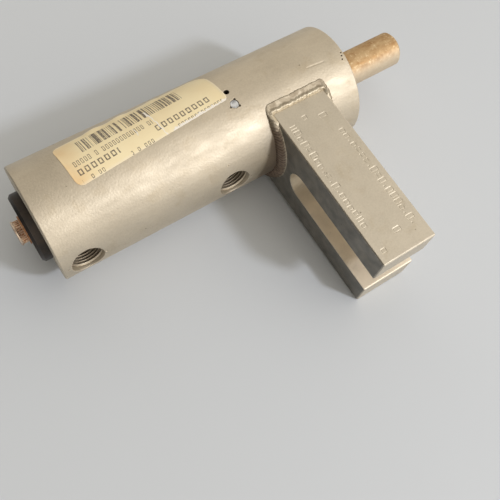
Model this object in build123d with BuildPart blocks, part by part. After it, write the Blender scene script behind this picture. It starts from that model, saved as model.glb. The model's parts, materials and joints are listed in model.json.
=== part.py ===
from build123d import *
import os
from math import cos, degrees, radians, sin, sqrt

# Air cylinder with a welded fork bracket: a heavy turned body, a bushed rod that
# comes out of its front face, a screwed-in rear cap and two side air ports.
# Origin: centre of the body's front face, on the cylinder axis.
# +X runs along the axis towards the rod tip, the bracket reaches towards -Y, and
# +Z is square to the bracket's wide faces. Angles on the body are measured about
# the axis, from +Y towards +Z. All sizes are in millimetres.

# ---- Driving dimensions -------------------------------------------------------
body_radius = 19.05
body_length = 109.2
rim_chamfer = 0.4
bore_radius = 9.525
bore_end_x = -44.0
bushing_seat_radius = 7.5
gland_seat_radius = 10.5
gland_seat_x = -12.0

rod_radius = 6.0
rod_reach = 29.2
rod_tip_chamfer = 0.9
running_gap = 0.03
stroke = 25.4

port_radius = 5.14
port_depth = 7.4
port_passage_radius = 1.8
port_mouth_radius = 5.4
port_mouth_depth = 1.35
port_angle = 175.9
rear_port_x = -101.0
front_port_x = -49.6

bracket_front_x = -12.3
bracket_width = 19.6
bracket_reach = 68.6
bracket_half_thickness = 15.9
bracket_edge_break = 0.35
fork_slot_width = 10.5
fork_slot_floor_y = -25.0
fork_slot_center_z = -0.4
weld_leg = 2.8
weld_cap_radius = 1.5
weld_crown = 0.4
weld_overlap = 0.5

cap_flange_radius = 11.3
cap_flange_thickness = 3.3
cap_spigot_radius = 9.8
cap_spigot_length = 5.7
plug_screw_radius = 2.5
plug_head_radius = 4.0
plug_head_height = 2.5

label_length = 52.4
label_height = 16.2
label_center_x = -68.85
label_center_angle = 73.85
label_skew = 4.6
label_thickness = 0.12
label_corner_radius = 2.2

pin_x = -41.3
lock_pin_angle = 99.2
lock_pin_radius = 1.45
oil_hole_angle = 84.9
oil_hole_radius = 0.9

# ---- Sizes that follow --------------------------------------------------------
rear_face_x = -body_length
cap_inner_x = rear_face_x + cap_spigot_length
cap_outer_x = rear_face_x - cap_flange_thickness
bracket_rear_x = bracket_front_x - bracket_width
bracket_center_x = (bracket_front_x + bracket_rear_x) / 2


# ---- Helpers ------------------------------------------------------------------
def ring(x_low, x_high, r_in, r_out):
    """Corners of a rectangular section, as (x, radius) pairs."""
    return [(x_low, r_in), (x_high, r_in), (x_high, r_out), (x_low, r_out)]


def lip_section(x_heel, x_lip, r_in, r_out):
    """U-shaped seal section: a solid heel and two lips that open at x_lip."""
    wall = (r_out - r_in) * 0.3
    middle = (r_in + r_out) / 2
    root_x = x_heel + (x_lip - x_heel) * 0.45
    outer_half = [(x_heel, r_out), (x_lip, r_out), (x_lip, r_out - wall), (root_x, middle + 0.15)]
    inner_half = [(root_x, middle - 0.15), (x_lip, r_in + wall), (x_lip, r_in), (x_heel, r_in)]
    return outer_half + inner_half


def turned(outline, mode=Mode.ADD):
    """Turn a closed outline of (x, radius) points about the cylinder axis."""
    with BuildSketch(Plane.XY) as section:
        with BuildLine():
            Polyline(*outline, close=True)
        make_face()
    revolve(section.sketch, axis=Axis.X, mode=mode)


def turned_round(x, ring_radius, wire_radius):
    """Turn a round section about the cylinder axis, as an O-ring."""
    with BuildSketch(Plane.XY) as section:
        with Locations((x, ring_radius)):
            Circle(wire_radius)
    revolve(section.sketch, axis=Axis.X)


def outward(angle):
    """Unit direction square to the cylinder axis at an angle about it."""
    return Vector(0, cos(radians(angle)), sin(radians(angle)))


def radial_plane(x, angle, radius):
    """Plane square to the outward direction, its origin that far from the axis."""
    return Plane(origin=Vector(x, 0, 0) + outward(angle) * radius, x_dir=(1, 0, 0), z_dir=outward(angle))


def radial_hole(x, angle, hole_radius, r_floor):
    """Drill towards the axis from outside the body, down to r_floor."""
    with BuildSketch(radial_plane(x, angle, r_floor)) as section:
        Circle(hole_radius)
    extrude(section.sketch, amount=body_radius + 1 - r_floor, mode=Mode.SUBTRACT)


def port_mouth(x):
    """Broken edge at the mouth of a side port, where it meets the round body."""
    with BuildSketch(radial_plane(x, port_angle, body_radius - port_mouth_depth)) as floor:
        Circle(port_radius)
    with BuildSketch(radial_plane(x, port_angle, body_radius)) as mouth:
        Circle(port_mouth_radius)
    loft([floor.sketch, mouth.sketch], mode=Mode.SUBTRACT)


def dimple(x, angle, radius):
    """Round-bottomed dent in the body's surface."""
    with Locations(radial_plane(x, angle, body_radius)):
        Sphere(radius, mode=Mode.SUBTRACT)


def finish(piece, name):
    """Name a finished piece and write its STEP file."""
    piece.part.label = name
    export_step(piece.part, f"parts/{name}.step")


os.makedirs("parts", exist_ok=True)

# ---- Body: one heavy turned barrel, bored from the rear -------------------------
cap_gland_radius = 10.9
cap_gland_depth = 1.1
snap_ring_rear_x = -1.8
snap_ring_front_x = -0.6
snap_ring_radius = 11.1
beyond_rear_x = rear_face_x - 1
cap_gland_x = rear_face_x + cap_gland_depth
port_dots = [(-107.4, 174.9), (-95.1, 175.7), (-43.4, 178.1)]
surface_dents = [(-51.2, 148.6), (-0.9, 99.3), (-1.3, 102.4), (-1.7, 105.8)]
dot_radius = 0.3
stake_radius = 0.42
stake_offset = 1.6
stake_turns = [61, -44, 196]

with BuildPart() as body:
    turned(ring(rear_face_x, 0, 0, body_radius))
    chamfer(body.edges().filter_by(GeomType.CIRCLE), rim_chamfer)
    turned(ring(beyond_rear_x, cap_gland_x, 0, cap_gland_radius), Mode.SUBTRACT)
    turned(ring(beyond_rear_x, cap_inner_x, 0, cap_spigot_radius), Mode.SUBTRACT)
    turned(ring(beyond_rear_x, bore_end_x, 0, bore_radius), Mode.SUBTRACT)
    turned(ring(bore_end_x - 1, 1, 0, bushing_seat_radius), Mode.SUBTRACT)
    turned(ring(gland_seat_x, 1, 0, gland_seat_radius), Mode.SUBTRACT)
    turned(ring(snap_ring_rear_x, snap_ring_front_x, 0, snap_ring_radius), Mode.SUBTRACT)
    for port_x in (rear_port_x, front_port_x):
        radial_hole(port_x, port_angle, port_radius, body_radius - port_depth)
        radial_hole(port_x, port_angle, port_passage_radius, bore_radius - 1)
        port_mouth(port_x)
    radial_hole(pin_x, lock_pin_angle, lock_pin_radius, bushing_seat_radius - 0.5)
    radial_hole(pin_x, oil_hole_angle, oil_hole_radius, bushing_seat_radius - 0.5)
    for dent_x, dent_angle in port_dots + surface_dents:
        dimple(dent_x, dent_angle, dot_radius)
    for turn in stake_turns:
        stake_x = pin_x + stake_offset * cos(radians(turn))
        stake_angle = lock_pin_angle - degrees(stake_offset * sin(radians(turn)) / body_radius)
        dimple(stake_x, stake_angle, stake_radius)
finish(body, "body")

# ---- Rear end: cap, its O-ring and bumper, and the plug screw -------------------
spanner_hole_radius = 1.2
spanner_hole_depth = 2.2
spanner_hole_offset = 8.4
cap_edge_chamfer = 0.9
cap_oring_wire_radius = 0.5
bumper_radius = 8.0
bumper_thickness = 1.9
bumper_hole_radius = 2.6
bumper_chamfer = 0.4

with BuildPart() as rear_cap:
    turned(ring(cap_outer_x, rear_face_x, 0, cap_flange_radius))
    chamfer(rear_cap.edges().filter_by(GeomType.CIRCLE).sort_by(Axis.X)[0], cap_edge_chamfer)
    turned(ring(rear_face_x - 1, cap_inner_x, 0, cap_spigot_radius))
    with BuildSketch(Plane(origin=(cap_outer_x, 0, 0), z_dir=(1, 0, 0))):
        with PolarLocations(spanner_hole_offset, 2):
            Circle(spanner_hole_radius)
    extrude(amount=spanner_hole_depth, mode=Mode.SUBTRACT)
    turned(ring(cap_outer_x - 1, cap_inner_x + 1, 0, plug_screw_radius), Mode.SUBTRACT)
finish(rear_cap, "rear_cap")

with BuildPart() as rear_cap_oring:
    cap_oring_radius = (cap_spigot_radius + cap_gland_radius) / 2
    turned_round(rear_face_x + cap_gland_depth / 2, cap_oring_radius, cap_oring_wire_radius)
finish(rear_cap_oring, "rear_cap_oring")

with BuildPart() as rear_bumper:
    turned(ring(cap_inner_x, cap_inner_x + bumper_thickness, bumper_hole_radius, bumper_radius))
    chamfer(rear_bumper.edges().filter_by(GeomType.CIRCLE).sort_by(Axis.X)[-1], bumper_chamfer)
finish(rear_bumper, "rear_bumper")

washer_thickness = 0.5
washer_radius = 4.6
screw_seat_x = cap_outer_x - washer_thickness
screw_head_x = screw_seat_x - plug_head_height
hex_socket_flats = 3.0
hex_socket_depth = 1.5
plug_head_chamfer = 0.35

with BuildPart() as cap_plug_screw:
    turned(ring(screw_head_x, screw_seat_x, 0, plug_head_radius))
    chamfer(cap_plug_screw.edges().filter_by(GeomType.CIRCLE).sort_by(Axis.X)[0], plug_head_chamfer)
    turned(ring(screw_seat_x - 1, cap_inner_x - 1, 0, plug_screw_radius))
    with BuildSketch(Plane(origin=(screw_head_x, 0, 0), z_dir=(1, 0, 0))):
        RegularPolygon(hex_socket_flats / 2, 6, major_radius=False)
    extrude(amount=hex_socket_depth, mode=Mode.SUBTRACT)
finish(cap_plug_screw, "cap_plug_screw")

with BuildPart() as plug_screw_washer:
    turned(ring(screw_seat_x, cap_outer_x, plug_screw_radius, washer_radius))
finish(plug_screw_washer, "plug_screw_washer")

# ---- Front end: rod bushings, their lock pin, gland, seals and snap ring --------
rod_hole_radius = rod_radius + running_gap
bushing_length = 14.0
front_bushing_x = gland_seat_x - bushing_length
rear_bushing_front_x = bore_end_x + bushing_length
lock_pin_floor = bushing_seat_radius - 0.6
lock_pin_top = body_radius - 0.15
lock_pin_chamfer = 0.2

with BuildPart() as rod_bushing_rear:
    turned(ring(bore_end_x, rear_bushing_front_x, rod_hole_radius, bushing_seat_radius))
    radial_hole(pin_x, lock_pin_angle, lock_pin_radius, lock_pin_floor)
    radial_hole(pin_x, oil_hole_angle, oil_hole_radius, rod_radius - 1)
finish(rod_bushing_rear, "rod_bushing_rear")

with BuildPart() as rod_bushing_front:
    turned(ring(front_bushing_x, gland_seat_x, rod_hole_radius, bushing_seat_radius))
finish(rod_bushing_front, "rod_bushing_front")

with BuildPart() as bushing_lock_pin:
    with BuildSketch(radial_plane(pin_x, lock_pin_angle, lock_pin_floor)):
        Circle(lock_pin_radius)
    extrude(amount=lock_pin_top - lock_pin_floor)
    chamfer(bushing_lock_pin.edges().filter_by(GeomType.CIRCLE).sort_by(Axis.Z)[-1], lock_pin_chamfer)
finish(bushing_lock_pin, "bushing_lock_pin")

rod_seal_heel_x = gland_seat_x + 3.6
rod_seal_lip_x = gland_seat_x + 0.8
rod_seal_radius = 8.6
wiper_rear_x = snap_ring_rear_x - 2.4
wiper_radius = 8.2
gland_oring_x = -6.0
gland_groove_half = 1.0
gland_groove_radius = 9.2
gland_oring_radius = (gland_groove_radius + gland_seat_radius) / 2
gland_oring_wire_radius = 0.62

with BuildPart() as rod_gland:
    turned(ring(gland_seat_x, snap_ring_rear_x, rod_hole_radius, gland_seat_radius))
    turned(ring(rod_seal_lip_x, rod_seal_heel_x, 0, rod_seal_radius), Mode.SUBTRACT)
    turned(ring(wiper_rear_x, 0, 0, wiper_radius), Mode.SUBTRACT)
    groove_rear_x = gland_oring_x - gland_groove_half
    groove_front_x = gland_oring_x + gland_groove_half
    turned(ring(groove_rear_x, groove_front_x, gland_groove_radius, body_radius), Mode.SUBTRACT)
finish(rod_gland, "rod_gland")

with BuildPart() as gland_oring:
    turned_round(gland_oring_x, gland_oring_radius, gland_oring_wire_radius)
finish(gland_oring, "gland_oring")

with BuildPart() as rod_seal:
    turned(lip_section(rod_seal_heel_x, rod_seal_lip_x, rod_hole_radius, rod_seal_radius))
finish(rod_seal, "rod_seal")

with BuildPart() as rod_wiper:
    turned(lip_section(wiper_rear_x, snap_ring_rear_x, rod_hole_radius, wiper_radius))
finish(rod_wiper, "rod_wiper")

snap_ring_inner_radius = 9.2
snap_ring_ear_radius = 1.5
snap_ring_ear_hole = 0.6
snap_ring_ear_angle = 13
snap_ring_ear_offset = 9.3
snap_ring_gap = 2.2

with BuildPart() as gland_snap_ring:
    with BuildSketch(Plane(origin=(snap_ring_rear_x, 0, 0), x_dir=(0, 0, 1), z_dir=(1, 0, 0))):
        Circle(snap_ring_radius)
        Circle(snap_ring_inner_radius, mode=Mode.SUBTRACT)
        for ear_side in (-1, 1):
            with PolarLocations(snap_ring_ear_offset, 1, start_angle=ear_side * snap_ring_ear_angle):
                Circle(snap_ring_ear_radius)
                Circle(snap_ring_ear_hole, mode=Mode.SUBTRACT)
        with Locations((snap_ring_ear_offset, 0)):
            Rectangle(snap_ring_ear_offset, snap_ring_gap, mode=Mode.SUBTRACT)
    extrude(amount=snap_ring_front_x - snap_ring_rear_x)
finish(gland_snap_ring, "gland_snap_ring")

bumper_rod_gap = 0.5
bumper_bore_gap = 0.4
front_bumper_hole = rod_radius + bumper_rod_gap
front_bumper_radius = bore_radius - bumper_bore_gap

with BuildPart() as front_bumper:
    turned(ring(bore_end_x - bumper_thickness, bore_end_x, front_bumper_hole, front_bumper_radius))
    chamfer(front_bumper.edges().filter_by(GeomType.CIRCLE).sort_by(Axis.X)[:1], bumper_chamfer)
finish(front_bumper, "front_bumper")

# ---- Moving group: rod, piston, its seals and its nut (rod fully out) -----------
bumper_gap = 0.1
piston_front_x = bore_end_x - bumper_thickness - bumper_gap
piston_rear_x = cap_inner_x + bumper_thickness + bumper_gap + stroke
piston_radius = bore_radius - 0.125
piston_seal_radius = bore_radius - 0.05
piston_nose_radius = 7.6
piston_nose_length = 5.5
stud_radius = 3.0
nut_recess_radius = 6.2
nut_recess_depth = 6.2
nut_recess_x = piston_rear_x + nut_recess_depth
lock_washer_thickness = 1.0
nut_front_x = nut_recess_x - lock_washer_thickness
nut_thickness = 4.0
nut_flats = 10.0
seal_width = 2.8
seal_groove_radius = 6.9
land_width = 1.6
wear_band_width = 5.2
wear_band_inner_radius = 8.2
front_seal_front_x = piston_front_x - piston_nose_length - land_width
rear_seal_rear_x = piston_rear_x + piston_nose_length + land_width
wear_band_center_x = (front_seal_front_x + rear_seal_rear_x) / 2
wear_band_rear_x = wear_band_center_x - wear_band_width / 2
wear_band_front_x = wear_band_center_x + wear_band_width / 2
stud_oring_x = piston_front_x - 4
stud_groove_radius = 4.42
stud_groove_half = 0.9
stud_oring_radius = (stud_radius + stud_groove_radius) / 2
stud_oring_wire_radius = 0.68
stud_end_length = 0.7
stud_chamfer = 0.5
wear_band_slit = 0.5
lock_washer_slit = 0.6
lock_washer_gap = 0.5

with BuildPart() as piston_rod:
    turned(ring(piston_front_x, rod_reach, 0, rod_radius))
    chamfer(piston_rod.edges().filter_by(GeomType.CIRCLE).sort_by(Axis.X)[-1], rod_tip_chamfer)
    turned(ring(nut_front_x - nut_thickness - stud_end_length, piston_front_x + 1, 0, stud_radius))
    chamfer(piston_rod.edges().filter_by(GeomType.CIRCLE).sort_by(Axis.X)[0], stud_chamfer)
finish(piston_rod, "piston_rod")

with BuildPart() as piston:
    turned(ring(piston_rear_x, piston_front_x, stud_radius, piston_nose_radius))
    main_rear_x = piston_rear_x + piston_nose_length
    main_front_x = piston_front_x - piston_nose_length
    turned(ring(main_rear_x, main_front_x, stud_radius, piston_radius))
    turned(ring(piston_rear_x - 1, nut_recess_x, 0, nut_recess_radius), Mode.SUBTRACT)
    front_groove = (front_seal_front_x - seal_width, front_seal_front_x)
    rear_groove = (rear_seal_rear_x, rear_seal_rear_x + seal_width)
    for groove in (front_groove, rear_groove):
        turned(ring(*groove, seal_groove_radius, body_radius), Mode.SUBTRACT)
    turned(ring(wear_band_rear_x, wear_band_front_x, wear_band_inner_radius, body_radius), Mode.SUBTRACT)
    stud_groove = (stud_oring_x - stud_groove_half, stud_oring_x + stud_groove_half)
    turned(ring(*stud_groove, 0, stud_groove_radius), Mode.SUBTRACT)
finish(piston, "piston")

with BuildPart() as piston_seal_front:
    turned(lip_section(front_groove[0], front_groove[1], seal_groove_radius, piston_seal_radius))
finish(piston_seal_front, "piston_seal_front")

with BuildPart() as piston_seal_rear:
    turned(lip_section(rear_groove[1], rear_groove[0], seal_groove_radius, piston_seal_radius))
finish(piston_seal_rear, "piston_seal_rear")

with BuildPart() as piston_wear_band:
    turned(ring(wear_band_rear_x, wear_band_front_x, wear_band_inner_radius, piston_seal_radius))
    with Locations((wear_band_center_x, 0, bore_radius)):
        Box(wear_band_width + 2, wear_band_slit, bore_radius / 2, mode=Mode.SUBTRACT)
finish(piston_wear_band, "piston_wear_band")

with BuildPart() as piston_oring:
    turned_round(stud_oring_x, stud_oring_radius, stud_oring_wire_radius)
finish(piston_oring, "piston_oring")

with BuildPart() as piston_lock_washer:
    turned(ring(nut_front_x, nut_recess_x, stud_radius, nut_recess_radius - lock_washer_gap))
    with Locations((nut_front_x, 0, (stud_radius + nut_recess_radius) / 2)):
        Box(2 * nut_thickness, lock_washer_slit, nut_recess_radius - stud_radius + 1, mode=Mode.SUBTRACT)
finish(piston_lock_washer, "piston_lock_washer")

with BuildPart() as piston_nut:
    with BuildSketch(Plane(origin=(nut_front_x - nut_thickness, 0, 0), z_dir=(1, 0, 0))):
        RegularPolygon(nut_flats / 2, 6, major_radius=False)
        Circle(stud_radius, mode=Mode.SUBTRACT)
    extrude(amount=nut_thickness)
finish(piston_nut, "piston_nut")

# ---- Fork bracket, coped to the body, and the weld around its root --------------
slot_radius = fork_slot_width / 2
slot_center_y = fork_slot_floor_y - slot_radius
slot_length = bracket_reach + slot_center_y + 1

with BuildPart() as mounting_bracket:
    with BuildSketch(Plane.YZ.offset(bracket_rear_x)):
        with Locations((-bracket_reach, 0)):
            Rectangle(bracket_reach, 2 * bracket_half_thickness, align=(Align.MIN, Align.CENTER))
    extrude(amount=bracket_width)
    chamfer(mounting_bracket.edges().filter_by(Axis.Y), bracket_edge_break)
    with BuildSketch(Plane.YZ.offset(bracket_rear_x - 1)):
        with Locations((slot_center_y, fork_slot_center_z)):
            Circle(slot_radius)
            Rectangle(slot_length, fork_slot_width, align=(Align.MAX, Align.CENTER))
    extrude(amount=bracket_width + 2, mode=Mode.SUBTRACT)
    chamfer(mounting_bracket.faces().sort_by(Axis.Y)[:2].edges(), bracket_edge_break)
    turned(ring(bracket_rear_x - 1, bracket_front_x + 1, 0, body_radius), Mode.SUBTRACT)
finish(mounting_bracket, "mounting_bracket")

root_y = -sqrt(body_radius**2 - bracket_half_thickness**2)
root_half_angle = Vector(0, -1, 0).get_angle(Vector(0, root_y, bracket_half_thickness))
side_start = outward(180 - root_half_angle)

with BuildPart() as weld_bead:
    for face_x, side in ((bracket_rear_x, -1), (bracket_front_x, 1)):
        with BuildSketch(Plane(origin=(0, 0, 0), x_dir=side_start, z_dir=side_start.cross(Vector(1, 0, 0)))):
            with BuildLine():
                toe = (body_radius - weld_overlap, face_x + side * weld_leg)
                heel = (body_radius - weld_overlap, face_x - side * weld_overlap)
                top = (body_radius + weld_leg, face_x - side * weld_overlap)
                crown = (body_radius + weld_leg, face_x + side * weld_crown)
                Polyline(toe, heel, top, crown, close=True)
            make_face()
        revolve(axis=Axis.X, revolution_arc=2 * root_half_angle)
    for z_side in (-1, 1):
        with BuildSketch(Plane.YZ.offset(bracket_rear_x - weld_cap_radius)):
            with Locations((root_y, z_side * bracket_half_thickness)):
                Circle(weld_cap_radius)
        extrude(amount=bracket_width + 2 * weld_cap_radius)
    turned(ring(bracket_rear_x - 5, bracket_front_x + 5, 0, body_radius), Mode.SUBTRACT)
    add(mounting_bracket.part, mode=Mode.SUBTRACT)
finish(weld_bead, "weld_bead")

# ---- Paper label wrapped on the body --------------------------------------------
with BuildPart() as label:
    with BuildSketch(radial_plane(label_center_x, label_center_angle, body_radius / 2)):
        with Locations(Location((0, 0, 0), label_skew)):
            RectangleRounded(label_length, label_height, label_corner_radius)
    extrude(amount=body_radius)
    label_shell = ring(rear_face_x, 0, body_radius, body_radius + label_thickness)
    turned(label_shell, Mode.INTERSECT)
finish(label, "label")
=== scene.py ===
import bpy
import bmesh
import json
import math
import random
from mathutils import Matrix, Vector, noise


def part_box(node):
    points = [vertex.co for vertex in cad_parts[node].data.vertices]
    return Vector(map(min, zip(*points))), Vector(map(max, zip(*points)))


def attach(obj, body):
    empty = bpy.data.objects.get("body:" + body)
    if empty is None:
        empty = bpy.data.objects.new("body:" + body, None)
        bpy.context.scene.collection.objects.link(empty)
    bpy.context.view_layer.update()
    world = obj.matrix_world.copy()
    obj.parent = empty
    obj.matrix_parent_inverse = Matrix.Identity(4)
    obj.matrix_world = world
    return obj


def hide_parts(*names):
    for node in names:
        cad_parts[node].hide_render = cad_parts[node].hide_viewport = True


# Looks for a short air cylinder with a welded fork bracket. The frame is in metres: +X runs
# along the cylinder axis to the rod tip, the fork reaches to -Y and +Z is square to its faces.
# Angles about the axis run from +Y towards +Z; polar() takes them in degrees.
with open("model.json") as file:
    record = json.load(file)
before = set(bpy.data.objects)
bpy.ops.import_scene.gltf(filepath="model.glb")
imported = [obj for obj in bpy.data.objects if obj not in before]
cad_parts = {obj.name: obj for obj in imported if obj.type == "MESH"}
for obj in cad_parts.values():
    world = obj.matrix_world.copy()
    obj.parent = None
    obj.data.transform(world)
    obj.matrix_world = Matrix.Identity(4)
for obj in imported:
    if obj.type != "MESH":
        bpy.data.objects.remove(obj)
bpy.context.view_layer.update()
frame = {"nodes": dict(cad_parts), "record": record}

MM = 0.001
nodes = frame["nodes"]
mounts = {m["name"]: m for m in frame["record"]["mounts"]}
body_low, body_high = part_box("body")
bracket_low, bracket_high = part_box("mounting_bracket")
screw_low, screw_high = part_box("cap_plug_screw")
label_low, label_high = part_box("label")
tube_radius = body_high.z
ports = ("port_rear", "port_front")
slot_low_z = mounts["fork_jaw_lower"]["pos_m"][2]

# The nick on the body: its middle, its turn about the axis in radians per metre, and its size.
nick_x = -11.0 * MM
nick_angle = math.radians(99.26)
nick_slant = 3.73
nick_half_length = 3.4 * MM
nick_width = 0.45 * MM

# The label's flat size, how far it is turned on the body and where its middle is.
label_length = 52.4 * MM
label_height = 16.2 * MM
label_skew = math.radians(4.6)
label_angle = 73.85
label_center_x = (label_low.x + label_high.x) / 2
label_corners = {
    "left_top": 2.2 * MM,
    "left_low": 2.2 * MM,
    "right_top": 5.0 * MM,
    "right_low": 1.2 * MM,
}


# ---- Geometry helpers -------------------------------------------------------------
def polar(x, angle, radius):
    """Point at an angle about the cylinder axis."""
    turn = math.radians(angle)
    return Vector((x, radius * math.cos(turn), radius * math.sin(turn)))


def smooth_step(low, high, value):
    share = min(1, max(0, (value - low) / (high - low)))
    return share * share * (3 - 2 * share)


def rough(place, size, seed=0):
    """Smooth noise between -1 and 1 whose features are about size across."""
    return noise.noise(Vector(place) / size + Vector((seed, seed * 0.7, seed * 1.3)))


def add_object(name, mesh):
    piece = bpy.data.objects.new(name, mesh)
    bpy.context.scene.collection.objects.link(piece)
    return piece


def solid_mesh(name, verts, faces, smooth_angle=40):
    """A mesh with outward normals, smooth except over edges sharper than an angle."""
    mesh = bpy.data.meshes.new(name)
    mesh.from_pydata([tuple(v) for v in verts], [], faces)
    made = bmesh.new()
    made.from_mesh(mesh)
    bmesh.ops.recalc_face_normals(made, faces=made.faces)
    for face in made.faces:
        face.smooth = True
    for edge in made.edges:
        if len(edge.link_faces) == 2 and edge.calc_face_angle() > math.radians(smooth_angle):
            edge.smooth = False
    made.to_mesh(mesh)
    made.free()
    return mesh


def add_uvs(mesh, name, uvs):
    """A UV layer from one pair of coordinates for each vertex."""
    layer = mesh.uv_layers.new(name=name)
    for loop in mesh.loops:
        layer.data[loop.index].uv = uvs[loop.vertex_index]


def grid_faces(rows, columns, wrap_rows=False, wrap_columns=False):
    """Quads that join a grid of vertices, stored row after row."""
    faces = []
    for i in range(rows if wrap_rows else rows - 1):
        row = i * columns
        next_row = (i + 1) % rows * columns
        for j in range(columns if wrap_columns else columns - 1):
            next_j = (j + 1) % columns
            faces.append((row + j, row + next_j, next_row + next_j, next_row + j))
    return faces


# ---- Materials --------------------------------------------------------------------
class Finish:
    """A Principled material with a few shorthand calls for its noise, mixes and bump."""

    def __init__(self, name, color, metallic, roughness):
        self.material = bpy.data.materials.new(name)
        self.material.use_nodes = True
        self.tree = self.material.node_tree
        self.shader = self.tree.nodes["Principled BSDF"]
        self.shader.inputs["Base Color"].default_value = (*color, 1)
        self.shader.inputs["Metallic"].default_value = metallic
        self.shader.inputs["Roughness"].default_value = roughness
        self.place = self.node("ShaderNodeTexCoord").outputs["Object"]

    def node(self, kind, inputs=None, **settings):
        made = self.tree.nodes.new(kind)
        for key, value in settings.items():
            setattr(made, key, value)
        for key, value in (inputs or {}).items():
            if isinstance(value, bpy.types.NodeSocket):
                self.tree.links.new(value, made.inputs[key])
            else:
                made.inputs[key].default_value = value
        return made

    def link(self, source, socket):
        self.tree.links.new(source, self.shader.inputs[socket])

    def axes(self):
        """The x, y and z of a place on the object, in metres."""
        return self.node("ShaderNodeSeparateXYZ", {"Vector": self.place}).outputs

    def uv(self):
        """The u and v of the mesh's own coordinates."""
        layer = self.node("ShaderNodeTexCoord").outputs["UV"]
        return self.node("ShaderNodeSeparateXYZ", {"Vector": layer}).outputs[:2]

    def scaled(self, size_mm, stretch, seed):
        scale = [1 / (size_mm * MM * s) for s in stretch]
        values = {"Vector": self.place, "Scale": scale, "Location": (seed, seed * 0.7, 0)}
        return self.node("ShaderNodeMapping", values).outputs[0]

    def noise(self, size_mm, stretch=(1, 1, 1), detail=3, seed=0, distortion=0):
        """Noise whose features are about size_mm across, drawn out along an axis by stretch."""
        values = {"Vector": self.scaled(size_mm, stretch, seed), "Scale": 1}
        values.update({"Detail": detail, "Distortion": distortion})
        return self.node("ShaderNodeTexNoise", values).outputs["Fac"]

    def cells(self, size_mm, stretch=(1, 1, 1), seed=0):
        """Distance to the nearest of random points about size_mm apart, 0 at the point itself."""
        values = {"Vector": self.scaled(size_mm, stretch, seed), "Scale": 1}
        return self.node("ShaderNodeTexVoronoi", values).outputs["Distance"]

    def remap(self, value, low, high, to_low=0, to_high=1):
        """Takes low to to_low and high to to_high, clamped beyond them."""
        settings = {"Value": value, "From Min": low, "From Max": high}
        settings.update({"To Min": to_low, "To Max": to_high})
        return self.node("ShaderNodeMapRange", settings, clamp=True).outputs[0]

    def math(self, operation, a, b=0.0, c=0.5):
        return self.node("ShaderNodeMath", {0: a, 1: b, 2: c}, operation=operation).outputs[0]

    def gap(self, a, b):
        """Distance between two values."""
        return self.math("ABSOLUTE", self.math("SUBTRACT", a, b))

    def near(self, value, middle, reach):
        """1 where value is within reach of middle, else 0."""
        return self.math("COMPARE", value, middle, reach)

    def opposite(self, value):
        return self.math("SUBTRACT", 1.0, value)

    def product(self, *values):
        result = values[0]
        for value in values[1:]:
            result = self.math("MULTIPLY", result, value)
        return result

    def either(self, *values):
        result = values[0]
        for value in values[1:]:
            result = self.math("MAXIMUM", result, value)
        return result

    def mix(self, share, a, b):
        """Colour a where share is 0 and colour b where it is 1."""
        made = self.node("ShaderNodeMix", {"Factor": share}, data_type="RGBA")
        for socket, value in ((made.inputs[6], a), (made.inputs[7], b)):
            if isinstance(value, bpy.types.NodeSocket):
                self.tree.links.new(value, socket)
            else:
                socket.default_value = (*value, 1)
        return made.outputs[2]

    def edges(self, width_mm):
        """Near 1 along edges and 0 on open faces."""
        rounded = self.node("ShaderNodeBevel", {"Radius": width_mm * MM}, samples=4).outputs[0]
        flat = self.node("ShaderNodeNewGeometry").outputs["Normal"]
        agree = self.node("ShaderNodeVectorMath", {0: rounded, 1: flat}, operation="DOT_PRODUCT")
        return self.remap(agree.outputs["Value"], 0.995, 0.85)

    def bump(self, *layers, round_mm=0.0):
        """Adds layers of (height value, depth in mm) to a normal rounded over edges by round_mm."""
        normal = None
        if round_mm > 0:
            normal = self.node("ShaderNodeBevel", {"Radius": round_mm * MM}, samples=6).outputs[0]
        for height, depth_mm in layers:
            values = {"Height": height, "Distance": abs(depth_mm) * MM, "Strength": 1}
            if normal is not None:
                values["Normal"] = normal
            made = self.node("ShaderNodeBump", values, invert=depth_mm < 0)
            normal = made.outputs["Normal"]
        self.link(normal, "Normal")


def shade(color, factor):
    return [min(1, max(0, c * factor)) for c in color]


# Painted shade inside the body's ports and holes.
hole_shade = (0.17, 0.13, 0.09)
# Painted shade in the body's small dents.
dent_shade = (0.10, 0.08, 0.06)
# Brown painted shadow of the fork on the body.
shadow_brown = (0.20, 0.15, 0.115)
# Painted shade for the fork's rear (-X) side.
side_shade_steel = (0.145, 0.147, 0.145)
# Painted light for the lower face of the fork's slot, in a tan tone.
slot_light_steel = (0.90, 0.81, 0.68)
violet_steel = (0.27, 0.22, 0.19)
# Painted shade for the weld's rear (-X) side.
weld_side_shade = (0.21, 0.15, 0.115)
ripple_shadow = (0.05, 0.035, 0.03)
greyed_bronze = (0.70, 0.62, 0.50)


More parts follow.
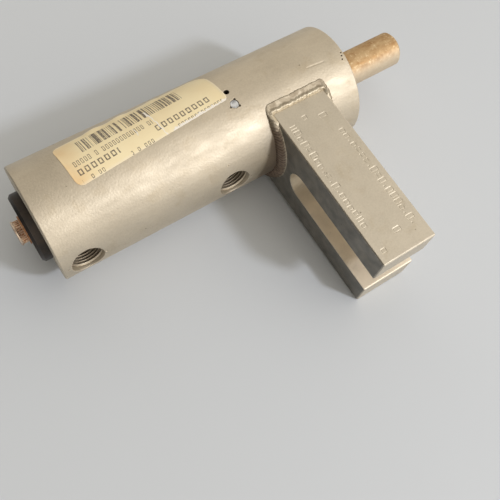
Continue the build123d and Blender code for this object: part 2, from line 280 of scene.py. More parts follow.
def plated_steel(name, color, stain, seed, local_wear_and_shade, wave_stretch, wave_mm, grain_mm):
    """Satin warm-grey plating with streaks, stains, specks, edges paler from wear and from a
    painted highlight, and its own local wear and painted shade.
    """
    roughness = 0.58
    made = Finish(name, color, 1.0, roughness)
    cloud = made.remap(made.noise(16, detail=4, seed=seed), 0.35, 0.65)
    base = made.mix(cloud, shade(color, 0.94), shade(color, 1.05))
    patch = made.remap(made.noise(6, detail=5, seed=seed + 3, distortion=0.6), 0.56, 0.74)
    base = made.mix(made.product(patch, 0.28), base, stain)
    grit = made.remap(made.noise(0.55, detail=3, seed=seed + 5), 0.35, 0.65)
    base = made.mix(made.product(grit, 0.22), base, shade(color, 1.3))
    speck = made.remap(made.cells(6.5, seed=seed + 7), 0.03, 0.055, 1, 0)
    base = made.mix(made.product(speck, 0.6), base, shade(stain, 0.3))
    base, open_face, marks = local_wear_and_shade(made, base)
    # Edges are paler from wear and from a painted highlight.
    uneven = made.remap(made.noise(1.5, seed=seed + 9), 0.25, 0.55, 0.5, 1)
    worn_and_highlit = made.product(made.edges(0.3), uneven, open_face)
    base = made.mix(made.product(worn_and_highlit, 0.8), base, shade(color, 1.55))
    made.link(base, "Base Color")
    band = made.noise(3, stretch=wave_stretch, detail=5, seed=seed + 11)
    made.link(made.remap(band, 0.3, 0.7, roughness - 0.06, roughness + 0.08), "Roughness")
    wave = made.noise(2.6, stretch=wave_stretch, detail=2, seed=seed + 13)
    grain = made.noise(0.6, detail=3, seed=seed + 17)
    scratch = made.noise(0.5, stretch=(26, 1, 1), detail=1, seed=seed + 19)
    scratch = made.remap(scratch, 0.70, 0.76)
    made.bump((wave, wave_mm), (grain, grain_mm), (scratch, -0.003), *marks, round_mm=0.3)
    return made.material


def body_wear_and_shade(made, base):
    """Painted shade in the body's holes and dents, the fork's painted shadow, turning marks and one
    long nick.

    Gives the colour, 1 outside the dents (whose rims stay dark) and the extra bump layers.
    """
    x, y, z = made.axes()
    square_to_axis = {0: made.place, 1: (0, 1, 1)}
    reach = made.node("ShaderNodeVectorMath", square_to_axis, operation="MULTIPLY").outputs[0]
    length = made.node("ShaderNodeVectorMath", {0: reach}, operation="LENGTH")
    radius = length.outputs["Value"]
    half = (body_high.x - body_low.x) / 2
    from_middle = made.gap(x, (body_low.x + body_high.x) / 2)
    between_ends = made.remap(from_middle, half - 0.8 * MM, half - 0.5 * MM, 1, 0)
    # Painted shade inside the ports and holes, short of the end faces.
    deep = made.remap(radius, tube_radius - 2.0 * MM, tube_radius - 1.5 * MM, 1, 0)
    base = made.mix(made.product(deep, between_ends, 0.75), base, hole_shade)
    # Painted shadow of the fork on the body.
    base = made.mix(made.product(fork_shadow(made, x, y, z), 0.68), base, shadow_brown)
    mouths = [made.near(x, mounts[port]["pos_m"][0], 6 * MM) for port in ports]
    # Painted shade in the small dents, away from the port mouths.
    shallow = made.remap(radius, tube_radius - 0.10 * MM, tube_radius - 0.05 * MM, 1, 0)
    dent = made.product(shallow, between_ends, made.opposite(made.either(*mouths)))
    base = made.mix(made.product(dent, 0.85), base, dent_shade)
    marks = [(turning_marks(made, x), 0.03), (long_nick(made, x, y, z), -0.11)]
    return base, made.opposite(dent), marks


def fork_shadow(made, x, y, z):
    """Painted shadow of the fork on the body beside its rear side, brown and wider further down."""
    width = made.remap(z, bracket_high.z - 2 * MM, -2 * MM, 2.1 * MM, 8.2 * MM)
    from_edge = made.math("SUBTRACT", made.math("ADD", x, width), bracket_low.x)
    close = made.remap(from_edge, -0.7 * MM, 0.6 * MM)
    before = made.remap(x, bracket_low.x, bracket_low.x + 0.5 * MM, 1, 0)
    low = made.remap(z, bracket_high.z - 6 * MM, bracket_high.z - 1.5 * MM, 1, 0)
    fork_side = made.remap(y, -8 * MM, -10 * MM)
    return made.product(close, before, low, fork_side)


def turning_marks(made, x):
    """Fine turning marks over the last few millimetres before the front face."""
    near_front = made.remap(x, body_high.x - 14 * MM, body_high.x - 5 * MM)
    return made.product(made.noise(0.8, stretch=(1, 9, 9), detail=2, seed=91), near_front)


def long_nick(made, x, y, z):
    """One short straight dig along the body, above the bracket."""
    slant = made.math("MULTIPLY", made.math("SUBTRACT", x, nick_x), nick_slant)
    sideways = made.gap(made.math("ARCTAN2", z, y), made.math("ADD", slant, nick_angle))
    across = made.remap(sideways, 0.0, nick_width / tube_radius, 1, 0)
    run_out = nick_half_length - 0.3 * MM
    return made.product(across, made.remap(made.gap(x, nick_x), run_out, nick_half_length, 1, 0))


def fork_shading(made, base):
    """Paints shade on the fork's rear side and light on the lower face of its slot; returns the
    same as for the body.
    """
    x, y, z = made.axes()
    patchy = made.remap(made.noise(4, detail=4, seed=83), 0.35, 0.65, 0.75, 1)
    # Painted shade on the fork's rear (-X) side, made patchy by noise.
    rear_shade = made.remap(x, bracket_low.x, bracket_low.x + 0.3 * MM, 0.8, 0)
    base = made.mix(made.product(rear_shade, patchy), base, side_shade_steel)
    # Painted light on the lower face of the slot towards its open end.
    slot_face = made.near(z, slot_low_z, 0.2 * MM)
    slot_face = made.product(slot_face, made.remap(y, -27 * MM, -36 * MM))
    base = made.mix(made.product(slot_face, patchy, 0.9), base, slot_light_steel)
    return base, 1.0, []


def weld_metal(name, color, tint, seed):
    """Weld bead: warm tints, painted shade at its toe, in its hollows and on its rear side, and a
    painted highlight on its ridge; v runs across.
    """
    roughness = 0.56
    made = Finish(name, color, 1.0, roughness)
    x, y, z = made.axes()
    across = made.uv()[1]
    blotch = made.remap(made.noise(2.2, detail=5, seed=seed, distortion=0.8), 0.4, 0.62)
    base = made.mix(made.product(blotch, 0.6), color, tint)
    violet = made.remap(made.noise(3.5, detail=3, seed=seed + 4), 0.52, 0.7)
    base = made.mix(made.product(violet, 0.2), base, violet_steel)
    # Painted shade in the bead's hollows.
    pointiness = made.node("ShaderNodeNewGeometry").outputs["Pointiness"]
    hollow_shade = made.remap(pointiness, 0.44, 0.5, 1, 0)
    base = made.mix(made.product(hollow_shade, 0.7), base, shade(tint, 0.3))
    # Painted shade over the toe half of the bead, a painted highlight along its ridge and painted
    # shade along its toe.
    base = made.mix(made.remap(across, 0.45, 0.72, 0.45, 0), base, shade(tint, 0.9))
    base = made.mix(made.remap(across, 0.70, 0.80, 0, 0.7), base, shade(color, 1.45))
    base = made.mix(made.remap(across, 0.02, 0.11, 0.85, 0), base, shade(tint, 0.3))
    # Painted shade on the bead's rear side below the fork's top, with painted shadow lines across
    # its ripples.
    behind = made.remap(x, bracket_low.x - 0.5 * MM, bracket_low.x, 1, 0)
    below = made.remap(z, bracket_high.z - 2.5 * MM, bracket_high.z - 0.3 * MM, 1, 0)
    scale = made.product(behind, below)
    base = made.mix(made.product(scale, 0.78), base, weld_side_shade)
    ring = ripple_rings(made, x, y, z, seed + 6)
    base = made.mix(made.product(ring, scale, 0.6), base, ripple_shadow)
    made.link(base, "Base Color")
    made.link(made.remap(blotch, 0, 1, roughness - 0.04, roughness + 0.12), "Roughness")
    pitted = made.noise(0.6, detail=4, seed=seed + 8)
    grain = made.noise(0.15, detail=2, seed=seed + 9)
    made.bump((pitted, 0.04), (grain, 0.01))
    return made.material


def ripple_rings(made, x, y, z, seed):
    """Bowed lines a millimetre apart round the axis, along the bead's rear run."""
    arc_mm = made.math("MULTIPLY", made.math("ARCTAN2", z, y), tube_radius / MM)
    from_middle = made.gap(x, bracket_low.x - 1.1 * MM)
    bowed = made.math("ADD", arc_mm, made.math("MULTIPLY", from_middle, 0.7 / MM))
    wander = made.remap(made.noise(1.5, seed=seed), 0, 1, -0.4, 0.4)
    from_line = made.math("PINGPONG", made.math("ADD", bowed, wander), 0.5)
    return made.remap(from_line, 0.0, 0.28, 1, 0)


def bronze(name, color, pale, dark, roughness, seed):
    """Brown rubbed bronze, greyer towards -Y, with darker mottling and small pale specks."""
    made = Finish(name, color, 1.0, roughness)
    mottle = made.noise(3.2, stretch=(1.8, 1, 1), detail=6, seed=seed, distortion=0.6)
    base = made.mix(made.remap(mottle, 0.36, 0.62), dark, color)
    rubbed = made.remap(made.noise(0.9, detail=4, seed=seed + 5), 0.55, 0.75)
    base = made.mix(made.product(rubbed, 0.7), base, pale)
    speck = made.remap(made.cells(2.4, seed=seed + 7), 0.05, 0.1, 1, 0)
    base = made.mix(made.product(speck, 0.7), base, shade(pale, 1.3))
    greyed = made.remap(made.axes()[1], -5.6 * MM, -3.0 * MM, 0.8, 0)
    base = made.mix(greyed, base, greyed_bronze)
    base = made.mix(made.product(made.edges(0.4), 0.5), base, pale)
    made.link(base, "Base Color")
    fine = made.noise(1.2, detail=5, seed=seed + 9)
    made.link(made.remap(fine, 0.3, 0.7, roughness - 0.06, roughness + 0.10), "Roughness")
    dimple = made.noise(0.7, detail=4, seed=seed + 11)
    grain = made.noise(0.12, detail=2, seed=seed + 13)
    made.bump((dimple, 0.02), (grain, 0.005), round_mm=0.4)
    return made.material


def machined(name, color, roughness, wear, seed, edge=1.5, stain_mm=1.8, turned=True, rust_x=None):
    """Small machined metal parts: turning marks, stains, rubbed edges and rust beyond rust_x."""
    made = Finish(name, color, 1.0, roughness)
    stain = made.remap(made.noise(stain_mm, detail=5, seed=seed), 0.42, 0.68)
    base = made.mix(made.product(stain, 0.6), color, wear)
    if rust_x is not None:
        beyond = made.remap(made.axes()[0], rust_x, rust_x + 0.12 * MM)
        uneven = made.remap(made.noise(0.7, seed=seed + 5), 0.35, 0.6, 0.5, 0.95)
        base = made.mix(made.product(beyond, uneven), base, wear)
    rubbed = [min(1, c * edge + 0.03) for c in color]
    base = made.mix(made.product(made.edges(0.25), 0.7), base, rubbed)
    made.link(base, "Base Color")
    made.link(made.remap(stain, 0, 1, roughness, roughness + 0.15), "Roughness")
    stretch = (1, 20, 20) if turned else (1, 1, 1)
    made.bump((made.noise(0.22, stretch=stretch, detail=2, seed=seed + 3), 0.006))
    return made.material


def soft_plastic(name, color, roughness, seed):
    """Rubber, urethane and filled plastic: matte, faintly dusty and grained."""
    made = Finish(name, color, 0.0, roughness)
    dust = made.remap(made.noise(2.5, detail=5, seed=seed), 0.45, 0.75)
    dusty = [c * 1.6 + 0.02 for c in color]
    made.link(made.mix(made.product(dust, 0.4), color, dusty), "Base Color")
    made.link(made.remap(dust, 0, 1, roughness, roughness + 0.15), "Roughness")
    made.bump((made.noise(0.3, detail=3, seed=seed + 3), 0.015))
    return made.material


def printed_paper(name, seed):
    """Aged cream paper with generic bars and blank boxes; u runs along and v down from the top."""
    paper = (0.89, 0.77, 0.50)
    aged_paper = (0.82, 0.66, 0.40)
    orange_stain = (0.72, 0.40, 0.14)
    pale_rim = (0.90, 0.82, 0.66)
    torn_paper = (0.90, 0.86, 0.80)
    ink = (0.075, 0.06, 0.055)
    made = Finish(name, paper, 0.0, 0.55)
    u, v = made.uv()

    def span(value, low, high):
        return made.near(value, (low + high) / 2, (high - low) / 2)

    def random_cell(count, cell_seed):
        index = made.math("FLOOR", made.math("MULTIPLY", u, float(count)))
        values = {"W": made.math("ADD", index, float(cell_seed))}
        return made.node("ShaderNodeTexWhiteNoise", values, noise_dimensions="1D").outputs["Value"]

    def boxes(u_span, v_span, lettering, row_seed):
        """A row of blank outlined boxes with a few gaps between two places along and down."""
        count, fill, stroke = lettering
        along = made.math("FRACT", made.math("MULTIPLY", u, float(count)))
        stroke_down = stroke * label_length / (count * label_height)
        inked = made.product(span(along, 0, fill), span(v, *v_span))
        inside = span(v, v_span[0] + stroke_down, v_span[1] - stroke_down)
        blank = made.product(span(along, stroke, fill - stroke), inside)
        kept = made.math("GREATER_THAN", random_cell(count, row_seed), 0.14)
        return made.product(made.math("SUBTRACT", inked, blank), kept, span(u, *u_span))

    fine_bar = made.math("GREATER_THAN", random_cell(300, 3), 0.38)
    group = made.math("GREATER_THAN", made.math("FRACT", made.math("MULTIPLY", u, 19.3)), 0.13)
    bars = made.product(fine_bar, group, span(u, 0.12, 0.79), span(v, 0.13, 0.465))
    # Boxes to the whole length of the label, then a box's width and its stroke as shares of one.
    small = (44, 0.62, 0.16)
    large = (24, 0.66, 0.17)
    rows = made.either(
        boxes((0.032, 0.55), (0.56, 0.67), small, 11),
        boxes((0.032, 0.30), (0.735, 0.85), large, 23),
        boxes((0.535, 0.915), (0.735, 0.855), large, 31),
        boxes((0.66, 0.965), (0.93, 0.995), small, 47),
        boxes((0.345, 0.50), (0.925, 0.995), small, 53),
        boxes((0.036, 0.18), (0.915, 0.985), small, 61),
    )
    fade = made.remap(made.noise(0.5, detail=3, seed=seed), 0.3, 0.55, 0.45, 0.92)
    aged = made.remap(made.noise(7, detail=4, seed=seed + 2), 0.35, 0.7)
    base = made.mix(made.product(aged, 0.4), paper, aged_paper)
    orange = made.product(made.remap(u, 0.0, 0.13, 1, 0), made.remap(aged, 0, 1, 0.5, 1))
    base = made.mix(made.product(orange, 0.6), base, orange_stain)
    long_rims = made.either(made.remap(v, 0.05, 0.0), made.remap(v, 0.95, 1.0))
    rim = made.either(long_rims, made.remap(u, 0.985, 1.0))
    base = made.mix(made.product(rim, 0.55), base, pale_rim)
    base = made.mix(made.product(made.either(bars, rows), fade), base, ink)
    bend = made.math("ADD", u, made.math("MULTIPLY", v, -0.035))
    wander = made.math("MULTIPLY", made.noise(1.6, detail=2, seed=seed + 4), 0.02)
    crack_place = made.math("ADD", bend, wander)
    main_crack = made.product(made.near(crack_place, 0.553, 0.0032), made.remap(v, 0.34, 0.42))
    upper_crack = made.product(made.near(crack_place, 0.55, 0.007), span(v, 0.30, 0.46))
    side_crack = made.product(made.near(crack_place, 0.425, 0.0022), span(v, 0.56, 0.74))
    frayed = made.noise(0.7, detail=4, seed=seed + 6)
    torn_edge = made.math("SUBTRACT", made.remap(v, 0.84, 1.0), frayed)
    torn = made.product(made.math("GREATER_THAN", torn_edge, 0.24), span(u, 0.62, 1.0))
    white = made.either(main_crack, upper_crack, side_crack, torn)
    base = made.mix(made.product(white, 0.9), base, torn_paper)
    made.link(base, "Base Color")
    made.link(made.remap(aged, 0, 1, 0.42, 0.6), "Roughness")
    fibre = made.noise(0.4, detail=3, seed=seed + 8)
    made.bump((white, 0.02), (fibre, 0.006))
    return made.material


body_steel = plated_steel(
    "body_steel",
    color=(0.57, 0.51, 0.415),
    stain=(0.42, 0.33, 0.20),
    seed=1.0,
    local_wear_and_shade=body_wear_and_shade,
    wave_stretch=(3, 1, 1),
    wave_mm=0.02,
    grain_mm=0.07,
)
bracket_steel = plated_steel(
    "bracket_steel",
    color=(0.575, 0.525, 0.44),
    stain=(0.42, 0.34, 0.22),
    seed=31.0,
    local_wear_and_shade=fork_shading,
    wave_stretch=(1, 2, 1),
    wave_mm=0.006,
    grain_mm=0.045,
)
weld_steel = weld_metal("weld_steel", (0.50, 0.45, 0.36), (0.36, 0.30, 0.22), 41.0)
rod_bronze = bronze(
    "rod_bronze",
    color=(0.59, 0.43, 0.25),
    pale=(0.82, 0.70, 0.48),
    dark=(0.45, 0.28, 0.135),
    roughness=0.64,
    seed=5.0,
)
bushing_bronze = bronze(
    "bushing_bronze",
    color=(0.55, 0.40, 0.18),
    pale=(0.66, 0.52, 0.30),
    dark=(0.34, 0.23, 0.09),
    roughness=0.45,
    seed=55.0,
)
black_oxide = machined(
    "black_oxide", (0.050, 0.044, 0.041), 0.42, (0.10, 0.08, 0.068), 7.0, edge=2.2
)
rusty_steel = machined(
    "rusty_steel", (0.60, 0.42, 0.30), 0.36, (0.22, 0.09, 0.03), 9.0, edge=1.7
)
screw_steel = machined(
    "screw_steel",
    (0.62, 0.50, 0.40),
    0.34,
    (0.20, 0.08, 0.03),
    27.0,
    edge=1.7,
    rust_x=screw_low.x + 0.6 * MM,
)
bright_steel = machined(
    "bright_steel", (0.66, 0.68, 0.72), 0.36, (0.03, 0.03, 0.035), 12.0, turned=False, stain_mm=0.8
)
dull_copper = machined("dull_copper", (0.52, 0.27, 0.14), 0.42, (0.22, 0.10, 0.05), 13.0)
turned_aluminium = machined(
    "turned_aluminium", (0.70, 0.70, 0.70), 0.34, (0.50, 0.49, 0.47), 15.0
)
seal_rubber = soft_plastic("seal_rubber", (0.018, 0.018, 0.018), 0.55, 17.0)
amber_urethane = soft_plastic("amber_urethane", (0.42, 0.24, 0.05), 0.42, 19.0)
band_plastic = soft_plastic("band_plastic", (0.07, 0.15, 0.11), 0.5, 21.0)
label_paper = printed_paper("label_paper", 71.0)

node_finish = {
    "body": body_steel,
    "mounting_bracket": bracket_steel,
    "weld_bead": weld_steel,
    "piston_rod": rod_bronze,
    "rear_cap": black_oxide,
    "gland_snap_ring": black_oxide,
    "plug_screw_washer": dull_copper,
    "cap_plug_screw": screw_steel,
    "piston_nut": rusty_steel,
    "piston_lock_washer": rusty_steel,
    "bushing_lock_pin": bright_steel,
    "rod_gland": turned_aluminium,
    "piston": turned_aluminium,
    "rod_bushing_front": bushing_bronze,
    "rod_bushing_rear": bushing_bronze,
    "front_bumper": amber_urethane,
    "rear_bumper": amber_urethane,
    "piston_wear_band": band_plastic,
    "label": label_paper,
}
for name, piece in nodes.items():
    piece.data.materials.clear()
    piece.data.materials.append(node_finish.get(name, seal_rubber))


# ---- Weld bead round the bracket's root -------------------------------------------
def weld_stations():
    """Stations of the loop: x and arc length of the root, and the way the bead's toe points."""
    step = 0.16 * MM
    root_y = -math.sqrt(tube_radius**2 - bracket_high.z**2)
    top_arc = math.acos(root_y / tube_radius) * tube_radius
    under_arc = 2 * math.pi * tube_radius - top_arc
    corners = [
        (bracket_low.x, top_arc),
        (bracket_high.x, top_arc),
        (bracket_high.x, under_arc),
        (bracket_low.x, under_arc),
    ]
    fan_steps = 22
    stations = []
    for side in range(4):
        start = Vector(corners[side])
        end = Vector(corners[(side + 1) % 4])
        facing = math.radians(-90 + 90 * side)
        steps = round((end - start).length / step)
        for i in range(steps):
            stations.append((start.lerp(end, i / steps), facing))
        for i in range(fan_steps):
            stations.append((end, facing + math.radians(90) * i / fan_steps))
    return stations


def weld_reach(facing):
    """How far the bead laps onto the tube: long above and below the bracket, short beside it."""
    beside = 2.0 if math.cos(facing) < 0 else 1.4
    above = 3.6
    across = beside * math.sin(facing)
    along = above * math.cos(facing)
    return beside * above / math.hypot(across, along)


def weld_mesh():
    """A rippled bead that laps from the tube onto the bracket's faces all round its root."""
    across = 22
    ripple_pitch = 1.1 * MM
    rear_leg = 3.1
    front_leg = 2.1
    verts = []
    uvs = []
    travelled = 0
    previous = None
    stations = weld_stations()
    for root, facing in stations:
        point = polar(root.x, math.degrees(root.y / tube_radius), tube_radius)
        beside = abs(math.cos(facing))
        turning = abs(math.sin(2 * facing))
        lump = rough(point, 2.6 * MM, 4)
        small = rough(point, 0.8 * MM, 9)
        side_leg = rear_leg if math.cos(facing) < 0 else front_leg
        tube_leg = (weld_reach(facing) + 0.30 * lump + 0.16 * small) * MM
        straight_leg = side_leg * beside * (1 - turning)
        bracket_leg = (straight_leg + 0.15 + 0.12 * lump + 0.20 * small) * MM
        height = (0.78 - 0.25 * beside + 0.15 * turning + 0.18 * lump + 0.12 * small) * MM
        buried = (0.15 + 0.25 * turning) * MM
        toe_x = root.x + tube_leg * math.cos(facing)
        toe_arc = root.y + tube_leg * math.sin(facing)
        toe = polar(toe_x, math.degrees(toe_arc / tube_radius), tube_radius - 0.15 * MM)
        radial = Vector((0, point.y, point.z)).normalized()
        face_normal = Vector((math.cos(facing), 0, -math.sin(facing))).normalized()
        far = point + Vector((0, -bracket_leg, 0)) - face_normal * buried
        out = (radial + face_normal).normalized()
        if previous is not None:
            travelled += (toe - previous).length
        previous = toe
        for j in range(across):
            v = j / (across - 1)
            crescent = (travelled / ripple_pitch + 0.6 * (2 * v - 1) ** 2 + 0.3 * lump) % 1
            crown = min(1, 7 * v, 9 * (1 - v))
            ripple = (1 - crescent) ** 1.5 * crown * (0.02 + 0.20 * beside) * MM
            crest = 0.78 + 0.10 * small
            rise = 0.40 * smooth_step(0, 0.06, v) + 0.60 * smooth_step(crest - 0.28, crest, v)
            ridge = rise * (1 - smooth_step(crest + 0.02, 1, v))
            bulge = height * (ridge + (math.sin(math.pi * v) - ridge) * beside)
            pock = 0.035 * MM * rough(toe.lerp(far, v), 0.7 * MM, 2) * crown
            verts.append(toe.lerp(far, v) + out * (bulge + ripple + pock))
            uvs.append((travelled, v))
        verts.append(point - out * 0.6 * MM)
        uvs.append((travelled, 0.5))
    mesh = solid_mesh("weld_seam", verts, grid_faces(len(stations), across + 1, True, True), 60)
    add_uvs(mesh, "bead", uvs)
    return mesh


weld = add_object("weld_seam", weld_mesh())
weld.data.materials.append(weld_steel)
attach(weld, "cylinder")
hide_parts("weld_bead")


# ---- Paper label ------------------------------------------------------------------
def corner_inset(distance, radius):
    """How far a rounded corner cuts in from the long edge, at a distance from the short edge."""
    if distance >= radius:
        return 0
    return radius - math.sqrt(radius**2 - (radius - distance) ** 2)


def label_mesh():
    """A thin sheet wrapped on the tube, lifted and wavy along its upper edge."""
    columns = 240
    rows = 64
    paper = 0.07 * MM
    glue = 0.015 * MM
    edge_lift = 0.42 * MM
    rise_limit = label_high.z
    outer = []
    inner = []
    uvs = []
    for i in range(columns):
        u = i / (columns - 1)
        along = (u - 0.5) * label_length
        left = u * label_length
        right = (1 - u) * label_length
        top_inset = corner_inset(left, label_corners["left_top"])
        top_inset += corner_inset(right, label_corners["right_top"])
        low_inset = corner_inset(left, label_corners["left_low"])
        low_inset += corner_inset(right, label_corners["right_low"])
        ragged = 0.22 * MM * max(0, rough((u * 60, 0, 0), 1, 3)) * smooth_step(0.7, 0.78, u)
        top = label_height / 2 - top_inset
        low = -label_height / 2 + low_inset + ragged
        for j in range(rows):
            down = j / (rows - 1)
            up = top + (low - top) * down
            x = label_center_x + along * math.cos(label_skew) - up * math.sin(label_skew)
            chord = along * math.sin(label_skew) + up * math.cos(label_skew)
            angle = label_angle - math.degrees(math.asin(chord / tube_radius))
            edge = smooth_step(0.14, 0.0, down)
            crests = max(0, math.sin(u * 30 + 0.8) * 0.6 + rough((u * 9, 1, 0), 1, 8))
            lift = edge_lift * edge * crests
            lift *= smooth_step(0.10, 0.28, u) * smooth_step(0.86, 0.62, u)
            end_lift = 0.10 * MM * smooth_step(0.985, 1.0, u)
            end_lift += 0.05 * MM * smooth_step(0.012, 0, u)
            crease = 0.045 * MM * max(0, 1 - abs(u - 0.565 - 0.035 * down) * 70)
            surface = tube_radius + glue + lift + crease
            surface += 0.012 * MM * rough((u * 22, down * 5, 0), 1, 5)
            outer_point = polar(x, angle, surface + paper + end_lift)
            outer_point.z = min(outer_point.z, rise_limit)
            outer.append(outer_point)
            inner.append(polar(x, angle, max(surface, tube_radius + 0.002 * MM)))
            uvs.append((u, (label_height / 2 - up) / label_height))
    count = len(outer)
    faces = grid_faces(columns, rows)
    under = [tuple(k + count for k in reversed(face)) for face in faces]
    border = [i * rows for i in range(columns)]
    border += [(columns - 1) * rows + j for j in range(1, rows)]
    border += [i * rows + rows - 1 for i in range(columns - 2, -1, -1)]
    border += [j for j in range(rows - 2, 0, -1)]
    rim = []
    for k, start in enumerate(border):
        end = border[(k + 1) % len(border)]
        rim.append((start, end, end + count, start + count))
    mesh = solid_mesh("paper_label", outer + inner, faces + under + rim, 50)
    add_uvs(mesh, "print", uvs + uvs)
    return mesh


paper_label = add_object("paper_label", label_mesh())
paper_label.data.materials.append(label_paper)
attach(paper_label, "cylinder")
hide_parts("label")


# ---- Plug screw with a knurled head -----------------------------------------------
def screw_mesh():
    """Turned screw with a straight-knurled head, a hexagon socket and its shank."""
    flutes = 30
    flute_depth = 0.34 * MM
    around = flutes * 4
    head_radius = screw_high.z
    head_x = screw_low.x
    seat_x = head_x + 2.5 * MM
    shank_radius = 2.5 * MM
    socket_radius = 1.5 * MM
    socket_x = head_x + 1.5 * MM
    rings = [
        (socket_x, 0.0, "hexagon"),
        (socket_x, socket_radius, "hexagon"),
        (head_x + 0.12 * MM, socket_radius, "hexagon"),
        (head_x, socket_radius + 0.45 * MM, "round"),
        (head_x, head_radius - 0.55 * MM, "round"),
        (head_x + 0.14 * MM, head_radius - 0.12 * MM, "round"),
        (head_x + 0.26 * MM, head_radius, "round"),
        (head_x + 0.60 * MM, head_radius, "round"),
        (head_x + 0.74 * MM, head_radius - 0.30 * MM, "knurled"),
        (seat_x - 0.25 * MM, head_radius - 0.30 * MM, "knurled"),
        (seat_x, head_radius - 0.45 * MM, "round"),
        (seat_x, shank_radius, "round"),
        (screw_high.x - 0.4 * MM, shank_radius, "round"),
        (screw_high.x, shank_radius - 0.4 * MM, "round"),
        (screw_high.x, 0.0, "round"),
    ]
    verts = []
    for x, radius, form in rings:
        for j in range(around):
            angle = 360 * j / around
            reach = radius
            if form == "hexagon":
                reach = radius / math.cos(math.radians((angle + 30) % 60 - 30))
            elif form == "knurled":
                wave = 0.5 + 0.5 * math.cos(math.radians(angle) * flutes)
                reach = radius - flute_depth * wave**0.7
            verts.append(polar(x, angle, reach))
    return solid_mesh("knurled_plug_screw", verts, grid_faces(len(rings), around, False, True), 35)


screw = add_object("knurled_plug_screw", screw_mesh())
screw.data.materials.append(screw_steel)
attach(screw, "cylinder")
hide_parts("cap_plug_screw")


# ---- Pipe threads in the two ports ------------------------------------------------
def thread_mesh(name, mount):
    """A helical ridge on a port's wall that runs out below the mouth."""
    out = Vector(mount["axis"])
    side = Vector((1, 0, 0))
    cross = out.cross(side)
    radius = mount["dims"]["r_mm"] * MM
    pitch = 0.94 * MM
    per_turn = 64
    low = tube_radius - 6.6 * MM
    high = tube_radius - 1.75 * MM
    turns = (high - low) / pitch
    steps = round(turns * per_turn)
    buried = 0.06
    section = [(-0.44, buried), (-0.07, -0.56), (0.07, -0.56), (0.44, buried)]
    verts = []
    for i in range(steps + 1):
        turn = 2 * math.pi * i / per_turn
        height = low + pitch * i / per_turn
        run_out = per_turn * 0.4
        taper = smooth_step(0, run_out, i) * smooth_step(steps, steps - run_out, i)
        outward = side * math.cos(turn) + cross * math.sin(turn)
        centre = Vector((mount["pos_m"][0], 0, 0)) + out * height
        for rise, depth in section:
            reach = radius + (buried + (depth - buried) * taper) * MM
            verts.append(centre + outward * reach + out * rise * MM)
    faces = grid_faces(steps + 1, len(section), False, True)
    faces.append(tuple(range(len(section))))
    faces.append(tuple(steps * len(section) + k for k in reversed(range(len(section)))))
    return solid_mesh(name, verts, faces, 30)


for port in ports:
    thread = add_object(port + "_thread", thread_mesh(port + "_thread", mounts[port]))
    thread.data.materials.append(body_steel)
    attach(thread, "cylinder")


# ---- Stamped marks on the fork ----------------------------------------------------
class Punch:
    """Cutters that press marks into a CAD node's surface with a Boolean modifier."""

    above = 0.12 * MM

    def __init__(self, name):
        self.name = name
        self.verts = []
        self.faces = []

    def groove(self, start, end, normal, width, depth):
        """A V-shaped groove with pointed ends between two points of a surface."""
        along = (end - start).normalized()
        across = normal.cross(along)
        spread = width / 2 * (1 + self.above / depth)
        base = len(self.verts)
        for place, way in ((start, -1), (end, 1)):
            for edge in (-1, 1):
                corner = place + along * way * width * 0.3 + across * edge * spread
                self.verts.append(corner + normal * self.above)
        self.verts.append(start + along * width * 0.3 - normal * depth)
        self.verts.append(end - along * width * 0.3 - normal * depth)
        corners = [(0, 1, 3, 2), (0, 2, 5, 4), (1, 4, 5, 3), (0, 4, 1), (2, 3, 5)]
        self.faces += [tuple(base + k for k in face) for face in corners]

    def pit(self, place, normal, radius, depth):
        """A small conical dent."""
        sides = 10
        side = normal.orthogonal().normalized()
        cross = normal.cross(side)
        base = len(self.verts)
        for k in range(sides):
            turn = 2 * math.pi * k / sides
            spread = radius * (1 + self.above / depth)
            outward = side * math.cos(turn) + cross * math.sin(turn)
            self.verts.append(place + outward * spread + normal * self.above)
        self.verts.append(place - normal * depth)
        self.faces.append(tuple(range(base, base + sides)))
        for k in range(sides):
            self.faces.append((base + k, base + (k + 1) % sides, base + sides))

    def cut(self, piece):
        cutter = add_object(self.name, solid_mesh(self.name, self.verts, self.faces))
        cutter.hide_render = True
        cutter.hide_viewport = True
        press = piece.modifiers.new(self.name, "BOOLEAN")
        press.operation = "DIFFERENCE"
        press.solver = "EXACT"
        press.use_self = True
        press.object = cutter


stamp_height = 2.3 * MM
stroke_width = 0.36 * MM
stroke_depth = 0.12 * MM


def outlined_box(rise):
    """Strokes of a blank box as pairs of (sideways, up) ends, in shares of the stamps' height."""
    corners = [(-0.3, 0), (0.3, 0), (0.3, rise), (-0.3, rise)]
    return list(zip(corners, corners[1:] + corners[:1]))


stamp_forms = {
    "box": outlined_box(1),
    "low_box": outlined_box(0.6),
    "pair": [((-0.22, 0), (-0.22, 1)), ((0.22, 0), (0.22, 1))],
    "steps": [((-0.3, 0.25), (0.3, 0.25)), ((-0.3, 0.75), (0.3, 0.75))],
}


def stamp(punch, x, y, form):
    """One stamped sign on the bracket's upper face; its foot is towards -X."""
    up = Vector((0, 0, 1))
    if form == "dot":
        place = Vector((x - 0.3 * stamp_height, y, bracket_high.z))
        punch.pit(place, up, 0.34 * MM, 0.25 * MM)
        return
    for stroke in stamp_forms[form]:
        ends = []
        for sideways, rise in stroke:
            stroke_x = x + (rise - 0.5) * stamp_height
            ends.append(Vector((stroke_x, y - sideways * stamp_height, bracket_high.z)))
        punch.groove(ends[0], ends[1], up, stroke_width, stroke_depth)


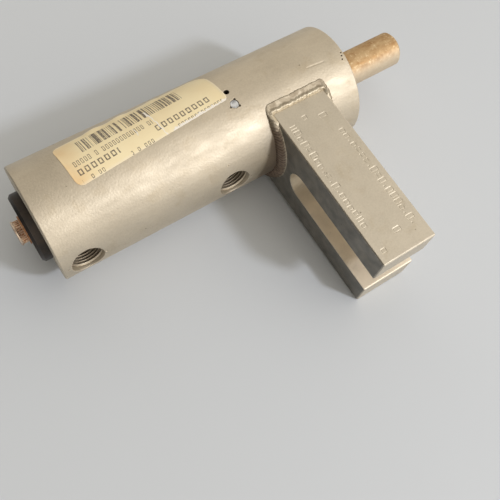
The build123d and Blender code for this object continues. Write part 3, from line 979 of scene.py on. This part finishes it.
def stamp_row(punch, x, y_start, y_end, pitch, seed):
    """A row of stamped signs with dots between some of them."""
    draw = random.Random(seed)
    y = y_start
    while y > y_end:
        form = draw.choice(sorted(stamp_forms))
        stamp(punch, x + draw.uniform(-0.2, 0.2) * MM, y, form)
        y -= pitch
        if draw.random() < 0.28:
            stamp(punch, x, y + 0.2 * MM, "dot")
            y -= pitch * 0.7


stamps = Punch("stamped_signs")
stamp_row(stamps, -28.9 * MM, -17.7 * MM, -56.0 * MM, 2.2 * MM, 5)
stamp_row(stamps, -15.5 * MM, -25.9 * MM, -60.4 * MM, 2.15 * MM, 8)
single_stamps = [
    (-23.2, -16.3, "low_box"),
    (-18.0, -18.3, "box"),
    (-21.5, -61.2, "box"),
    (-28.6, -64.7, "low_box"),
]
for x, y, form in single_stamps:
    stamp(stamps, x * MM, y * MM, form)
stamps.cut(nodes["mounting_bracket"])


# ---- Floor, lights and camera -----------------------------------------------------
# The part lies on its body and on the lower edge of the fork's free end, so the floor is
# tilted about the axis to meet both.
edge_reach = math.hypot(bracket_low.y, bracket_low.z)
floor_tilt = math.asin(tube_radius / edge_reach) - math.atan2(-bracket_low.z, -bracket_low.y)
floor_up = Vector((0, math.sin(floor_tilt), math.cos(floor_tilt)))
floor_half = 4.0

floor_finish = Finish("pale_floor", (0.60, 0.635, 0.685), 0.0, 0.6)
floor_cloud = floor_finish.noise(30, detail=4)
floor_finish.link(floor_finish.remap(floor_cloud, 0.3, 0.7, 0.55, 0.65), "Roughness")
floor_corners = [
    (-floor_half, -floor_half, 0),
    (floor_half, -floor_half, 0),
    (floor_half, floor_half, 0),
    (-floor_half, floor_half, 0),
]
floor = add_object("floor", solid_mesh("floor", floor_corners, [(0, 1, 2, 3)]))
floor.data.materials.append(floor_finish.material)
floor.rotation_euler = (-floor_tilt, 0, 0)
floor.location = -floor_up * tube_radius


def looking(location, target, up):
    """Matrix for a camera or light at location that looks at target with that way up."""
    back = (Vector(location) - Vector(target)).normalized()
    right = Vector(up).cross(back).normalized()
    turn = Matrix((right, back.cross(right), back)).transposed()
    return Matrix.Translation(Vector(location)) @ turn.to_4x4()


def key_light():
    """One small square lamp that shines on the middle of the part from above the fork."""
    data = bpy.data.lights.new("key", "AREA")
    data.shape = "RECTANGLE"
    data.size = 0.11
    data.size_y = 0.11
    data.energy = 4.6
    data.color = (0.97, 0.985, 1.04)
    way = Vector((0.42, -0.64, 0.64)).normalized()
    distance = 1.1
    middle = Vector((-0.055, -0.02, 0))
    light = bpy.data.objects.new("key", data)
    light.matrix_world = looking(middle + way * distance, middle, (0, 0.2, 1))
    bpy.context.scene.collection.objects.link(light)


key_light()


def studio_world():
    """Warm light all round, brighter near the key's direction and faint from the cap's end."""
    world = bpy.data.worlds.new("studio")
    world.use_nodes = True
    tree = world.node_tree

    def vector(operation, a, b=(0, 0, 0)):
        made = tree.nodes.new("ShaderNodeVectorMath")
        made.operation = operation
        tree.links.new(a, made.inputs[0])
        made.inputs[1].default_value = b
        return made.outputs

    def ramp(value, low, high, to_low, to_high):
        made = tree.nodes.new("ShaderNodeMapRange")
        made.interpolation_type = "SMOOTHSTEP"
        tree.links.new(value, made.inputs["Value"])
        limits = {"From Min": low, "From Max": high, "To Min": to_low, "To Max": to_high}
        for socket, number in limits.items():
            made.inputs[socket].default_value = number
        return made.outputs[0]

    way = tree.nodes.new("ShaderNodeTexCoord").outputs["Generated"]
    widen = (0.35, 1, 1)
    patch_way = Vector([a * b for a, b in zip((0.42, -0.80, 0.43), widen)]).normalized()
    patch = vector("NORMALIZE", vector("MULTIPLY", way, widen)["Vector"])["Vector"]
    near_key = vector("DOT_PRODUCT", patch, patch_way)["Value"]
    side = vector("DOT_PRODUCT", way, (1, 0, 0))["Value"]
    total = tree.nodes.new("ShaderNodeMath")
    total.operation = "ADD"
    tree.links.new(ramp(side, -0.40, 0.02, 0.06, 0.90), total.inputs[0])
    tree.links.new(ramp(near_key, 0.30, 1.0, 0.0, 0.46), total.inputs[1])
    background = tree.nodes["Background"]
    tree.links.new(total.outputs[0], background.inputs["Strength"])
    background.inputs["Color"].default_value = (1.0, 0.93, 0.81, 1)
    bpy.context.scene.world = world


studio_world()

camera_data = bpy.data.cameras.new("camera")
camera_data.sensor_width = 36
camera_data.lens = 46.7
camera_data.clip_start = 0.01
camera_data.clip_end = 20
camera = bpy.data.objects.new("camera", camera_data)
camera_place = Vector((-0.1130, -0.0934, 0.1845))
camera_way = Vector((0.27776, 0.26604, -0.92308))
camera_up = Vector((0.47233, 0.79890, 0.37237))
camera.matrix_world = looking(camera_place, camera_place + camera_way, camera_up)
bpy.context.scene.collection.objects.link(camera)
bpy.context.scene.camera = camera
bpy.context.scene.view_settings.view_transform = "Standard"
